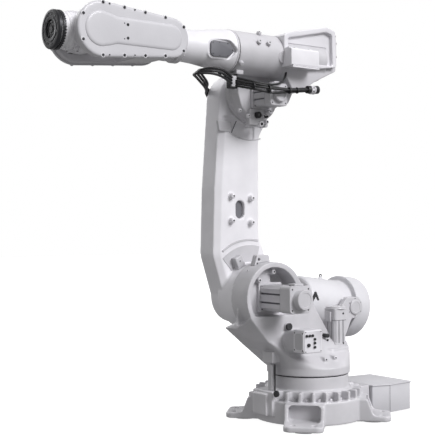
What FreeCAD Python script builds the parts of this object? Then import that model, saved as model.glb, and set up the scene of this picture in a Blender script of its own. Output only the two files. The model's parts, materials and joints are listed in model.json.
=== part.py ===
"""Six-axis industrial robot arm with a gas balancer, floor standing, all sizes in millimetres.

Frame: origin on axis 1 at the floor, +X the way the arm reaches, +Y the arm's left, +Z up.
Every sub-part is one STEP file in parts/, named after its node.
"""
import FreeCAD, Part
import math
import os
from FreeCAD import Vector

X, Y, Z = Vector(1, 0, 0), Vector(0, 1, 0), Vector(0, 0, 1)

# ---- driving dimensions: the six axes -------------------------------------------------
AXIS_2 = Vector(320, 0, 780)          # shoulder, turns about Y
AXIS_3 = Vector(320, 0, 2060)         # elbow, turns about Y
UPPER_Z = 2260                        # centreline of the upper arm, axes 4 and 6
AXIS_5_X = 1585                       # wrist tilt, turns about Y
FLANGE_X = 1805                       # front face of the tool flange
SEAM = 6                              # gap between pieces that turn against each other

# ---- base ------------------------------------------------------------------------------
PAD_REACH, PAD_R, PAD_H = 285, 90, 10
SKIRT_R, SKIRT_LOW, SKIRT_TOP = 340, 15, 150
RING_R, RING_TOP = 334, 209
NECK_R, NECK_TOP = 254, 292
POCKETS = 25
FOOT_REACH, FOOT_WIDTH, FOOT_TOP = 515, 240, 44
ANCHOR_REACH, ANCHOR_SPREAD, ANCHOR_R = 462, 62, 13.5

# ---- turret ----------------------------------------------------------------------------
TURNTABLE_R, TURNTABLE_LOW, TURNTABLE_TOP = 262, 298, 346
FLARE_LOW, FLARE_KNEE, FLARE_TOP = 345, 420, 520
BELL_R = 216
WALL_NEAR, WALL_FAR = 60, -100        # the shoulder wall lies between these Y values
RECESS_R, RECESS_FLOOR, POCKET_FLOOR = 184, -5, -70
DECK_TOP = 445
POST_TOP, LUG_LOW = 370, 378          # the turning stop post passes under the lug on the turret
BOX_FRONT = 290                       # near face of the brake-release box

# ---- lower arm -------------------------------------------------------------------------
ARM_NEAR, ARM_FAR = -190, -372
ARM_BEVEL = 24
HUB_R = 205                           # round hub of the arm at the shoulder
ELBOW_R = 199                         # round gear disc at the elbow
TRACK_R, TRACK_DEPTH = 300, 14        # shallow track of the elbow stop

# ---- balancer --------------------------------------------------------------------------
TRUNNION = Vector(-470, -281, 675)
ROD_EYE_LEVER = 150
TUBE_R, DRUM_R, BORE_R, ROD_R = 168, 205, 58, 22
TUBE_REACH, DRUM_NEAR, DRUM_FAR = 340, 30, 175   # along the tube from the trunnion
PIN_R, PIN_HALF = 32, 219
YOKE_THICK, YOKE_BOSS_R, CAP_R = 36, 68, 50
BEAM_LOW, BEAM_TOP = 381, 440

# ---- upper arm and wrist ---------------------------------------------------------------
HOUSE_R = 127
SEAM_4_X = 630
BODY_NEAR = -62                       # near face of the elbow housing
PLATE_Y = 99                          # flat seat of the access plate on the forearm
FORK_GAP = 108                        # half the slot that the tilting wrist turns in
FORK_HALF = 150                       # half the fork without its covers
COVER_Y = 186                         # outer face of the wrist covers
WRIST_BIG_R, WRIST_SMALL_R, WRIST_SMALL_X = 150, 112, 1147
DISC_R = 104

# ---- cables: the routes of their centre lines ------------------------------------------
HOSE_R, CABLE_R = 8, 7
HOSE_ROUTE = [                        # each point of the first hose, and the step to the next hose
    ((604, 22, 2092), (0, 0, -17)), ((672, 66, 2112), (6, 0, -17)), ((735, 84, 2132), (10, 0, -17)),
    ((795, 78, 2138), (14, 0, -16)), ((838, 30, 2130), (17, 0, -12)), ((826, -38, 2134), (17, 0, -13)),
    ((770, -92, 2136), (15, 0, -15)), ((706, -146, 2120), (12, 0, -16)), ((632, -212, 2104), (8, 0, -17)),
    ((572, -288, 2096), (3, -3, -17)), ((530, -364, 2092), (0, -2, -17)), ((456, -410, 2074), (10, -6, -14)),
    ((404, -414, 2004), (18, -2, -5)), ((390, -410, 1920), (17, 0, 0)), ((390, -410, 1835), (17, 0, 0))]
CABLE_ROUTES = [
    [(612, 24, 2072), (575, 110, 2050), (520, 164, 2040), (440, 184, 2034), (360, 187, 2032),
     (284, 182, 2036), (206, 172, 2044), (130, 158, 2054)],
    [(612, 24, 2087), (575, 110, 2065), (520, 160, 2055), (440, 172, 2045), (360, 174, 2040),
     (284, 169, 2044), (206, 159, 2052), (130, 145, 2062)],
    [(612, 24, 2057), (575, 110, 2035), (520, 160, 2022), (440, 172, 2008), (360, 174, 2016),
     (284, 169, 2028), (206, 159, 2036), (130, 145, 2046)],
    [(604, 22, 2104), (560, 110, 2079), (490, 150, 2064), (410, 156, 2060), (335, 146, 2080),
     (292, 126, 2118), (262, 100, 2150), (246, 80, 2168)]]


# ---- shapes ----------------------------------------------------------------------------
def rod(start, axis, radius, length):
    """Cylinder from a point along a direction."""
    return Part.makeCylinder(radius, length, Vector(*start), axis)


def taper(start, axis, radius_1, radius_2, length):
    """Cone frustum from a point along a direction."""
    return Part.makeCone(radius_1, radius_2, length, Vector(*start), axis)


def block(low, high):
    """Box between two corners."""
    size = [b - a for a, b in zip(low, high)]
    return Part.makeBox(*size, Vector(*low))


def side(y):
    """Places a flat outline (X, Z) in the plane at y."""
    return lambda a, b: Vector(a, y, b)


def level(z):
    """Places a flat outline (X, Y) in the plane at z."""
    return lambda a, b: Vector(a, b, z)


def front(x):
    """Places a flat outline (Y, Z) in the plane at x."""
    return lambda a, b: Vector(x, a, b)


def outline(corners, place):
    """Closed wire through flat corners (a, b, radius), each one rounded by its radius."""
    stops = []
    for index, (a, b, radius) in enumerate(corners):
        here = Vector(a, b, 0)
        back = (Vector(*corners[index - 1][:2], 0) - here).normalize()
        onward = (Vector(*corners[(index + 1) % len(corners)][:2], 0) - here).normalize()
        half = back.getAngle(onward) / 2
        reach = radius / math.tan(half)
        inward = (back + onward).normalize()
        peak = here + inward * (radius / math.sin(half) - radius)
        stops.append((here + back * reach, peak, here + onward * reach))
    edges = []
    for index, (start, peak, end) in enumerate(stops):
        points = [place(p.x, p.y) for p in (start, peak, end, stops[(index + 1) % len(stops)][0])]
        if (points[2] - points[0]).Length > 1e-6:
            edges.append(Part.Arc(*points[:3]).toShape())
        if (points[3] - points[2]).Length > 1e-6:
            edges.append(Part.LineSegment(points[2], points[3]).toShape())
    return Part.Wire(edges)


def prism(corners, place, along):
    """Solid swept from a flat rounded outline along a vector."""
    return Part.Face(outline(corners, place)).extrude(along)


def hull(corner_lists, places):
    """Ruled solid through outlines that have the same corners, one per place."""
    wires = [outline(corners, place) for corners, place in zip(corner_lists, places)]
    return Part.makeLoft(wires, True, True)


def fuse(*shapes):
    """One solid from touching or overlapping shapes."""
    whole = shapes[0].multiFuse(list(shapes[1:]))
    return whole.removeSplitter()


def around(shape, centre, axis, angle):
    """Copy of a shape turned about an axis through a point, in degrees."""
    turned = shape.copy()
    turned.rotate(centre, axis, angle)
    return turned


def ring_of(shape, centre, axis, count, first=0.0):
    """Copies of a shape evenly round an axis."""
    return [around(shape, centre, axis, first + 360.0 * i / count) for i in range(count)]


def soften(shape, radius, wanted):
    """Fillets the edges whose centre passes a test."""
    return shape.makeFillet(radius, [e for e in shape.Edges if wanted(e.CenterOfMass, e)])


def round_corners(reach, centre=(0, 0)):
    """Corners of a square outline whose rounding makes it a circle."""
    return [(centre[0] + i * reach, centre[1] + j * reach, reach - 0.5)
            for i, j in ((-1, -1), (1, -1), (1, 1), (-1, 1))]


def cord(points, radius):
    """Round cord along straight runs joined by arcs as large as the runs allow."""
    points = [Vector(*p) for p in points]
    edges, last = [], points[0]
    for before, here, after in zip(points, points[1:], points[2:]):
        back, onward = before - here, after - here
        reach = 0.45 * min(back.Length, onward.Length)
        back.normalize()
        onward.normalize()
        half = back.getAngle(onward) / 2
        bend = reach * math.tan(half)
        inward = (back + onward).normalize()
        peak = here + inward * (bend / math.sin(half) - bend)
        start, end = here + back * reach, here + onward * reach
        edges += [Part.LineSegment(last, start).toShape(), Part.Arc(start, peak, end).toShape()]
        print("cord bend radius %.0f" % bend)
        last = end
    edges.append(Part.LineSegment(last, points[-1]).toShape())
    path = Part.Wire(edges)
    section = Part.Wire(Part.makeCircle(radius, points[0], points[1] - points[0]))
    tube = path.makePipeShell([section], True, True)
    print("cord volume ratio %.4f" % (tube.Volume / (math.pi * radius ** 2 * path.Length)))
    return tube


# ---- base ------------------------------------------------------------------------------
def base_foot():
    """One foot toward +X, between two sloping ribs, open in front."""
    half = FOOT_WIDTH / 2
    plate = prism([(250, -half, 1), (FOOT_REACH, -half, 46), (FOOT_REACH, half, 46), (250, half, 1)],
                  level(PAD_H), Z * (FOOT_TOP - PAD_H))
    slope = prism([(280, PAD_H, 1), (470, PAD_H, 1), (462, FOOT_TOP, 8), (408, FOOT_TOP + 4, 30),
                   (372, SKIRT_TOP - 4, 18), (280, SKIRT_TOP, 1)], side(-half), Y * FOOT_WIDTH)
    window = prism([(-96, FOOT_TOP + 2, 22), (96, FOOT_TOP + 2, 22), (96, 142, 22), (-96, 142, 22)],
                   front(318), X * 300)
    anchors = [rod((ANCHOR_REACH, s * ANCHOR_SPREAD, 0), Z, ANCHOR_R, 200) for s in (-1, 1)]
    pad = rod((math.hypot(PAD_REACH, PAD_REACH), 0, 0), Z, PAD_R, PAD_H + 2)
    return fuse(plate, slope, pad).cut(window).cut(Part.makeCompound(anchors)), window


def base_casting():
    """Foot ring, four feet, pocketed upper ring and the neck that carries the turntable."""
    centre = Vector(0, 0, 0)
    foot, window = base_foot()
    feet = ring_of(foot, centre, Z, 4, 45)
    windows = ring_of(window, centre, Z, 4, 45)
    skirt = rod((0, 0, SKIRT_LOW), Z, SKIRT_R, SKIRT_TOP - SKIRT_LOW).cut(Part.makeCompound(windows))
    ring = rod((0, 0, SKIRT_TOP), Z, RING_R, RING_TOP - SKIRT_TOP)
    pocket = prism([(272, -31, 14), (360, -31, 14), (360, 31, 14), (272, 31, 14)],
                   level(SKIRT_TOP + 4), Z * 100)
    neck = rod((0, 0, SKIRT_TOP), Z, NECK_R, NECK_TOP - SKIRT_TOP)
    pitch = 360.0 / POCKETS
    cuts = [around(pocket, centre, Z, 32.5 + pitch * i) for i in range(POCKETS)]
    ring = ring.cut(Part.makeCompound(cuts))
    pedestal = fuse(block((225, -120, 60), (352, 66, RING_TOP)), block((225, -96, 60), (372, 30, 190)),
                    block((225, -190, 60), (330, -100, 178)))
    tail = block((-392, -150, 30), (-250, 150, 190))
    return fuse(skirt, ring, neck, pedestal, tail, *feet)


def connection_box():
    """Sheet-metal box behind the base where the supply leads are plugged in."""
    body = hull([[(-735, -188, 14), (-735, 188, 14), (-520, 205, 8), (-398, 170, 8), (-398, -170, 8),
                  (-520, -205, 8)]] * 2, (level(8), level(184)))
    lid = prism([(-741, -194, 12), (-741, 194, 12), (-520, 211, 8), (-394, 176, 8), (-394, -176, 8),
                 (-520, -211, 8)], level(184), Z * 6)
    return body, lid


def stop_post():
    """Upright post on the base that ends the turning of axis 1."""
    corners = [(296, -4, 4), (328, -4, 4), (328, 36, 4), (296, 36, 4)]
    return prism(corners, level(RING_TOP - 3), Z * (POST_TOP - RING_TOP + 3))


def base_knob():
    """Round plug low beside the stop post."""
    return rod((330, 92, 196), Vector(1, 0.5, 0), 15, 26)


# ---- turret ----------------------------------------------------------------------------
def shoulder_wall():
    """Wall that carries the shoulder, round above and narrowing to the turntable."""
    corners = [(-222, 398, 25), (91, 345, 30), (371, 508, 60), (536, 691, 216), (536, 996, 216),
               (201, 996, 216)]
    bell = rod((AXIS_2.x, WALL_FAR, AXIS_2.z), Y, BELL_R, WALL_NEAR - WALL_FAR)
    return fuse(prism(corners, side(WALL_NEAR), -Y * (WALL_NEAR - WALL_FAR)), bell)


def wall_flare():
    """Foot of the wall, spreading from its straight sides to the round turntable."""
    foot = round_corners(TURNTABLE_R)
    knee = [(-240, -190, 100), (292, -190, 100), (285, 122, 40), (-240, 168, 60)]
    waist = [(-142, -98, 30), (376, -98, 30), (376, 58, 14), (-142, 58, 14)]
    lower = hull([foot, knee], (level(FLARE_LOW), level(FLARE_KNEE)))
    return fuse(lower, hull([knee, waist], (level(FLARE_KNEE), level(FLARE_TOP))))


def beak():
    """Sloping lower front of the wall, running out to a point on the far side."""
    near = [(91, 345, 4), (371, 508, 30), (513, 666, 4), (430, 690, 4), (120, 480, 4)]
    middle = [(235, 345, 4), (425, 511, 30), (515, 587, 4), (505, 640, 4), (300, 545, 4)]
    far = [(197, 330, 4), (403, 489, 30), (530, 592, 4), (500, 600, 4), (300, 545, 4)]
    rib = prism([(480, 600, 4), (548, 606, 4), (532, 712, 3), (500, 712, 3)], side(-46), Y * 10)
    return fuse(hull([near, middle], (side(WALL_NEAR), side(-75))),
                hull([middle, far], (side(-75), side(-176))), rib)


def shoulder_recess():
    """Round recess round the shoulder motor, cut deeper above and behind it."""
    whole = rod((AXIS_2.x, RECESS_FLOOR, AXIS_2.z), Y, RECESS_R, 200)
    pocket = rod((AXIS_2.x, POCKET_FLOOR, AXIS_2.z), Y, RECESS_R, 200)
    corner = prism([(100, 800, 1), (290, 800, 1), (320, 1000, 1), (100, 1000, 1)],
                   side(POCKET_FLOOR), Y * 200)
    return fuse(whole.common(block((100, -200, 668), (600, 300, 1000))), pocket.common(corner))


def turret_casting():
    """Turntable, shoulder wall, beak, deck behind it and motor seat in one casting."""
    table = rod((0, 0, TURNTABLE_LOW), Z, TURNTABLE_R, TURNTABLE_TOP - TURNTABLE_LOW)
    deck = prism([(-236, 150, 50), (-60, 150, 40), (60, -80, 40), (60, -232, 60), (-190, -232, 60),
                  (-248, -100, 60)], level(TURNTABLE_TOP - 1), Z * (DECK_TOP - TURNTABLE_TOP + 1))
    seat = rod((-180, 60, 376), Z, 84, 79)
    lug = block((200, -48, LUG_LOW), (335, 50, DECK_TOP))
    rear_lug = around(block((-340, -20, 322), (-200, 20, 368)), Vector(0, 0, 0), Z, 3)
    box_boss = hull([[(90, 420, 60), (266, 420, 60), (266, 572, 50), (90, 572, 50)],
                     [(150, 462, 20), (279, 462, 20), (279, 588, 20), (150, 588, 20)]],
                    (side(WALL_NEAR - 10), side(190)))
    bosses = [rod((x, RECESS_FLOOR - 1, z), Y, 17, 36) for x, z in ((302, 936), (413, 888))]
    bosses += [rod((x, 60, z), Y, 15, 150) for x, z in ((37, 395), (-42, 400))]
    wall = fuse(shoulder_wall(), wall_flare(), beak()).cut(shoulder_recess())
    return fuse(table, wall, deck, seat, lug, rear_lug, box_boss, *bosses)


def brake_release_box():
    """Box on the shoulder wall with the brake-release buttons on its near face."""
    box = block((143, 190, 456), (286, BOX_FRONT, 594))
    return soften(box, 8, lambda c, e: c.y > 191)


def brake_release_buttons():
    """Three buttons along the top, three down the rear side, one larger in the middle."""
    spots = [(270, 562), (246, 562), (223, 562), (206, 540), (206, 517), (206, 492)]
    buttons = [rod((x, BOX_FRONT, z), Y, 8, 9) for x, z in spots]
    return Part.makeCompound(buttons + [rod((254, BOX_FRONT, 506), Y, 11, 9)])


def wall_plugs():
    """Round plug above the box and the small socket behind it."""
    return Part.makeCompound([rod((225, WALL_NEAR, 598), Y, 21, 26), rod((-78, WALL_NEAR, 524), Y, 13, 40)])


def square_motor(start, axis, half, length, cap_r, cap_length, collar=1.1):
    """Servo motor: flange, square body with cut corners and a round end cap."""
    flange = 18
    corners = [(-half, -half), (half, -half), (half, half), (-half, half)]
    body = prism([(a, b, half * 0.3) for a, b in corners], level(0), Z * length)
    plate = prism([(a * collar, b * collar, 10) for a, b in corners], level(0), Z * flange)
    cap = rod((0, 0, length - 1), Z, cap_r, cap_length + 1)
    motor = fuse(plate, body, cap)
    turn = FreeCAD.Rotation(Z, axis)
    motor.Placement = FreeCAD.Placement(Vector(*start), turn)
    return motor


def lifting_eye():
    """Drilled lifting lug on the bell's top."""
    lug = prism([(292, 972, 4), (418, 972, 4), (396, 1040, 14), (302, 1040, 14)], side(-60), Y * 42)
    return lug.cut(rod((381, -150, 1011), Y, 9, 200))


def balancer_yoke(y):
    """Plate arm from the crossbeam to one trunnion of the balancer, its far face at y."""
    x, z, boss = TRUNNION.x, TRUNNION.z, YOKE_BOSS_R
    arm = prism([(x - boss, z + boss, boss - 1), (x - boss, z - boss, boss - 1), (-440, 600, 20),
                 (-330, BEAM_LOW, 20), (-150, BEAM_LOW, 10), (-200, 470, 40), (-350, 690, 40),
                 (x + boss, z + boss, 30)], side(y), Y * YOKE_THICK)
    return arm.cut(rod((x, y - 10, z), Y, PIN_R, YOKE_THICK + 20))


def balancer_yokes():
    """The near and the far arm of the fork that carries the balancer."""
    near = TRUNNION.y + PIN_HALF + 2 - YOKE_THICK
    far = TRUNNION.y - PIN_HALF - 2
    return balancer_yoke(near), balancer_yoke(far)


def balancer_crossbeam():
    """Beam across the turret's back that joins the fork's two arms."""
    near = TRUNNION.y + PIN_HALF + 2 - YOKE_THICK
    beam = block((-330, TRUNNION.y - PIN_HALF - 2 + YOKE_THICK, BEAM_LOW), (-150, near, BEAM_TOP))
    bridge = block((-300, -235, BEAM_LOW), (-100, near, BEAM_TOP))
    return fuse(beam, bridge)


def trunnion_caps():
    """Round bearing covers on the outer faces of the fork."""
    reach = PIN_HALF + 2
    return Part.makeCompound([rod(TRUNNION + Y * reach, Y, CAP_R, 8),
                              rod(TRUNNION - Y * reach, -Y, CAP_R, 8)])


# ---- balancer --------------------------------------------------------------------------
def balancer_line():
    """Direction of the balancer from its trunnion to the rod eye, and the eye's place."""
    line = Vector(AXIS_2.x - TRUNNION.x, 0, AXIS_2.z - TRUNNION.z)
    line.normalize()
    eye = Vector(AXIS_2.x, TRUNNION.y, AXIS_2.z) - line * ROD_EYE_LEVER
    return line, eye


def balancer_tube():
    """Gas spring body: tube, larger rear drum and trunnions, bored for the rod."""
    line, eye = balancer_line()
    tube = rod(TRUNNION - line * DRUM_NEAR, line, TUBE_R, DRUM_NEAR + TUBE_REACH)
    tube = soften(tube, 22, lambda c, e: (c - TRUNNION).Length > TUBE_REACH - 10)
    drum = rod(TRUNNION - line * DRUM_FAR, line, DRUM_R, DRUM_FAR - DRUM_NEAR)
    drum = soften(drum, 30, lambda c, e: (c - TRUNNION).Length > DRUM_FAR - 10)
    clear = rod(TRUNNION - Y * 300, Y, YOKE_BOSS_R + 8, 600).cut(rod(TRUNNION - Y * 165, Y, 120, 330))
    pins = rod(TRUNNION - Y * PIN_HALF, Y, PIN_R - 0.05, 2 * PIN_HALF)
    bore = rod(TRUNNION + line * 120, line, BORE_R, 300)
    eye_boss = rod(TRUNNION + line * 110 + Z * (TUBE_R - 6), Z, 13, 24)
    return fuse(tube, drum.cut(clear), pins, eye_boss).cut(bore)


def balancer_rod():
    """Piston rod with the eye that is pinned to the lower arm."""
    line, eye = balancer_line()
    shaft = rod(eye, -line, ROD_R, 514)
    head = rod(eye - Y * 24, Y, 42, 48)
    return fuse(shaft, head).cut(rod(eye - Y * 60, Y, 18, 120))


# ---- lower arm -------------------------------------------------------------------------
def arm_outline(front_inset, rear_inset):
    """Side outline of the lower arm, bulging forward between its two round ends."""
    f, r = front_inset, rear_inset
    trim = (f + r) / 2
    return [(148 + r, 604 + r, 172 - trim), (492 - f, 604 + r, 172 - trim), (510 - f, 790, 60),
            (590 - f, 1035, 150), (578 - f, 1450, 400), (541 - f, 1962, 200),
            (530 - f, 2175 - r, 185 - trim), (135 + r, 2175 - r, 165 - trim), (128 + r, 1955, 80),
            (238 + r, 1775, 150), (238 + r, 1140, 150), (122 + r, 880, 100)]


def elbow_track():
    """Shallow curved track in the near face, below the elbow disc."""
    ring = rod((AXIS_3.x, ARM_NEAR - TRACK_DEPTH, AXIS_3.z), Y, TRACK_R, 60)
    ring = ring.cut(rod((AXIS_3.x, ARM_NEAR - 60, AXIS_3.z), Y, ELBOW_R + 6, 200))
    return ring.common(block((282, -300, 1700), (700, 0, 1900)))


def rod_channel():
    """Opening in the rear of the arm for the balancer rod and its eye."""
    line, eye = balancer_line()
    half = 35
    slot = rod((eye.x, eye.y - half, eye.z), Y, 64, 2 * half)
    folded = prism([(eye.x - 60, eye.z, 1), (eye.x + 62, eye.z, 1), (eye.x + 150, 540, 1), (eye.x - 60, 540, 1)],
                   side(eye.y - half), Y * 2 * half)
    return fuse(slot, folded, block((eye.x - 300, eye.y - half, 540), (eye.x, eye.y + half, 1040)))


def lower_arm_casting():
    """Box-section arm with bevelled rims, shoulder hub, elbow track and screw bosses."""
    plain, near_rim, far_rim = arm_outline(0, 0), arm_outline(44, 12), arm_outline(26, 12)
    middle = hull([plain, plain], (side(ARM_NEAR - ARM_BEVEL), side(ARM_FAR + ARM_BEVEL)))
    near = hull([near_rim, plain], (side(ARM_NEAR), side(ARM_NEAR - ARM_BEVEL)))
    far = hull([far_rim, plain], (side(ARM_FAR), side(ARM_FAR + ARM_BEVEL)))
    hub = rod((AXIS_2.x, ARM_NEAR - 60, AXIS_2.z), Y, HUB_R, WALL_FAR - SEAM - ARM_NEAR + 60)
    hole = prism([(360, 1264, 33), (428, 1264, 33), (428, 1376, 33), (360, 1376, 33)],
                 side(ARM_NEAR - 60), Y * 100)
    bosses = [rod((x, ARM_NEAR - 5, z), Y, 17, 38) for x, z in
              ((467, 1404), (313, 1393), (467, 1251), (313, 1240))]
    whole = fuse(fuse(middle, near, far, hub).cut(elbow_track()).cut(hole), *bosses)
    line, eye = balancer_line()
    pin = rod((eye.x, ARM_FAR + 40, eye.z), Y, 17.95, ARM_NEAR - ARM_FAR - 80)
    return fuse(whole.cut(rod_channel()), pin)


def shoulder_stop():
    """Tilted block on the arm that meets the turret's stop."""
    body = around(block((-30, -4, -40), (30, 46, 40)), Vector(0, 0, 0), Y, 25)
    body = soften(body, 6, lambda c, e: c.y > 0)
    body.translate(Vector(426, ARM_NEAR, 991))
    return body


def elbow_stop():
    """Lug that fills the front end of the elbow track."""
    return prism([(573, 1873, 8), (465, 1864, 8), (465, 1802, 8), (558, 1803, 8)],
                 side(ARM_NEAR - TRACK_DEPTH), Y * (TRACK_DEPTH + 6))


def hose_gland():
    """Gland box on the arm's far side where the hoses go in."""
    box = block((376, -430, 1750), (438, ARM_FAR, HOSE_ROUTE[-1][0][2] - 0.5))
    return soften(box, 6, lambda c, e: c.y < ARM_FAR - 1)


# ---- upper arm -------------------------------------------------------------------------
def upper_house():
    """Elbow gear housing, the round barrel that carries the forearm, and the rear gearbox."""
    disc = rod((AXIS_3.x, ARM_NEAR + SEAM, AXIS_3.z), Y, ELBOW_R, 44)
    barrel = rod((-60, 0, UPPER_Z), X, HOUSE_R, SEAM_4_X + 60)
    body = prism([(40, 2260, 5), (117, 2156, 20), (67, 2063, 30), (105, 1990, 20), (175, 1975, 20),
                  (250, 1930, 20), (305, 1878, 20), (400, 1878, 40), (478, 1940, 60), (508, 2030, 50),
                  (508, 2110, 30), (590, 2170, 20), (590, 2260, 5)], side(-150), Y * (BODY_NEAR + 150))
    rear = prism([(-150, 2300, 20), (-150, 2195, 10), (-117, 2181, 10), (29, 2114, 40), (147, 2040, 20),
                  (215, 2060, 30), (270, 2150, 20), (270, 2290, 5)], side(-120), Y * 220)
    return fuse(disc, barrel, body, rear)


def rear_cover():
    """Hood over the wrist motors, its top rising toward the rear."""
    hood = prism([(300, 2384, 24), (200, 2412, 60), (-50, 2462, 40), (-122, 2444, 20), (-132, 2215, 20),
                  (60, 2190, 30), (300, 2190, 20)], side(-130), Y * 260)
    cap = hull([[(-128, 2218, 12), (128, 2218, 12), (128, 2438, 40), (-128, 2438, 40)],
                [(-112, 2236, 12), (112, 2236, 12), (112, 2418, 40), (-112, 2418, 40)]],
               (front(-124), front(-146)))
    recess = prism([(268, 2364, 16), (-44, 2430, 30), (-92, 2418, 16), (-98, 2222, 16), (268, 2222, 16)],
                   side(106), Y * 40)
    return fuse(hood, cap).cut(fuse(recess, recess.mirror(Vector(0, 0, 0), Y)))


def barrel_bosses():
    """Screw bosses standing on the barrel."""
    spots = [(446, 61), (490, 116), (416, 117)]
    bosses = []
    for x, y in spots:
        z = math.sqrt(HOUSE_R ** 2 - y ** 2)
        away = Vector(0, y, z).normalize()
        bosses.append(rod(Vector(x, 0, UPPER_Z) + away * (HOUSE_R - 8), away, 15, 26))
    return Part.makeCompound(bosses)


def elbow_stop_bracket():
    """Bracket under the elbow housing with its rubber buffer and two screw fittings."""
    plate = prism([(322, 1840, 6), (432, 1840, 6), (432, 1935, 6), (322, 1935, 6)], side(-78), Y * 34)
    buffer = rod((376, -60, 1899), Y, 19, 38)
    fittings = [rod((x, -120, 1843), Y, 14, 60) for x in (290, 409)]
    bar = block((280, -118, 1835), (420, -74, 1853))
    return fuse(plate, buffer, bar, *fittings)


def forearm_tube():
    """Tapered tube of the forearm, from the barrel to the wrist fork."""
    start = SEAM_4_X + SEAM
    wide = taper((start, 0, UPPER_Z), X, HOUSE_R + 1, HOUSE_R - 3, 60)
    neck = taper((start + 60, 0, UPPER_Z), X, HOUSE_R - 3, 98, 190)
    slim = taper((start + 250, 0, UPPER_Z), X, 98, 90, 1000 - start - 250)
    flange = rod((1000, 0, UPPER_Z), X, 104, 40)
    flat = prism([(848, 2187, 30), (700, 2190, 34), (648, 2246, 16), (700, 2302, 34), (848, 2305, 30)],
                 side(60), Y * (PLATE_Y - 60))
    pocket = flat.copy()
    pocket.translate(Y * (PLATE_Y - 60))
    seat = flat.common(rod((600, 0, UPPER_Z), X, HOUSE_R - 3, 400))
    return fuse(wide, neck, slim, flange, seat).cut(pocket)


def access_plate():
    """Flat cover screwed over the cable opening on the forearm's near side."""
    return prism([(835, 2199, 26), (706, 2203, 30), (662, 2246, 14), (706, 2290, 30), (835, 2293, 26)],
                 side(PLATE_Y), Y * 12)


def tangent_angle():
    """Tilt of the wrist's straight edges, tangent to both end circles, in radians."""
    return math.asin((WRIST_BIG_R - WRIST_SMALL_R) / (AXIS_5_X - WRIST_SMALL_X))


def wrist_wire(grow, y):
    """Side outline of the wrist: two round ends joined by straight tangents."""
    tilt = tangent_angle()
    big, small = WRIST_BIG_R + grow, WRIST_SMALL_R + grow
    up = Vector(-math.sin(tilt), 0, math.cos(tilt))
    down = Vector(up.x, 0, -up.z)
    front_end, rear_end = Vector(AXIS_5_X, y, UPPER_Z), Vector(WRIST_SMALL_X, y, UPPER_Z)
    nose = Part.Arc(front_end + up * big, front_end + X * big, front_end + down * big).toShape()
    tail = Part.Arc(rear_end + down * small, rear_end - X * small, rear_end + up * small).toShape()
    low = Part.LineSegment(front_end + down * big, rear_end + down * small).toShape()
    high = Part.LineSegment(rear_end + up * small, front_end + up * big).toShape()
    return Part.Wire([nose, low, tail, high])


def wrist_slab(grow, y, thickness):
    """Slab with the wrist's outline."""
    return Part.Face(wrist_wire(grow, y)).extrude(Y * thickness)


def wrist_rim(grow_1, y_1, grow_2, y_2):
    """Ruled solid between two wrist outlines."""
    return Part.makeLoft([wrist_wire(grow_1, y_1), wrist_wire(grow_2, y_2)], True, True)


def wrist_fork():
    """Casting that carries the tilting wrist between two arms."""
    body = wrist_slab(-8, -FORK_HALF, 2 * FORK_HALF)
    slot = block((1335, -FORK_GAP, 2000), (1900, FORK_GAP, 2500))
    stub = rod((1040, 0, UPPER_Z), X, 100, 60)
    return fuse(body.cut(slot), stub)


def wrist_cover(near):
    """Cover over one arm of the fork, its rim rounded, with a raised panel."""
    sign = 1 if near else -1
    shell = wrist_slab(0, sign * FORK_HALF, sign * (COVER_Y - 14 - FORK_HALF))
    rim = wrist_rim(0, sign * (COVER_Y - 14), -14, sign * (COVER_Y - 3))
    panel = wrist_slab(-34, sign * (COVER_Y - 4), sign * 4)
    return fuse(shell, rim, panel)


def tilt_housing():
    """Wrist gear housing that tilts between the fork's arms."""
    drum = rod((AXIS_5_X, 8 - FORK_GAP, UPPER_Z), Y, 100, 2 * FORK_GAP - 16)
    nose = rod((AXIS_5_X, 0, UPPER_Z), X, 98, 1736 - AXIS_5_X)
    return fuse(drum, nose)


def tool_flange():
    """Round tool flange with its tapped circle, a centring bore and a toothed rear ring."""
    disc = rod((1762, 0, UPPER_Z), X, DISC_R, FLANGE_X - 1762)
    ring = rod((1742, 0, UPPER_Z), X, DISC_R - 4, 24)
    holes = ring_of(rod((FLANGE_X - 30, 80, UPPER_Z), X, 6, 60), Vector(0, 0, UPPER_Z), X, 11)
    bore = rod((FLANGE_X - 8, 0, UPPER_Z), X, 50, 60)
    return fuse(disc, ring).cut(bore).cut(Part.makeCompound(holes))


# ---- cables ----------------------------------------------------------------------------
def arm_hoses():
    """Three hoses from the clamp, round in a loop under the forearm, to the arm's far side."""
    return Part.makeCompound([cord([Vector(*p) + Vector(*step) * i for p, step in HOSE_ROUTE], HOSE_R)
                              for i in range(3)])


def barrel_cables():
    """Cables from the clamp back to the plug, and one that goes up into the housing."""
    return Part.makeCompound([cord(route, CABLE_R) for route in CABLE_ROUTES])


def cable_clamp():
    """Clamp block under the barrel where every cable is tied."""
    return soften(block((588, 2, 2036), (646, 42, 2122)), 6, lambda c, e: c.z < 2121)


def clamp_bracket():
    """Bracket that hangs the clamp from the barrel."""
    return block((560, -10, 2122), (612, 60, 2160))


def cable_plug():
    """Plug on the rear end of the cables."""
    collar = rod((136, 149, 2054), -X, 23, 34)
    return fuse(collar, rod((104, 149, 2054), Vector(-1, 0, 0.1), 25, 54))


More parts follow.
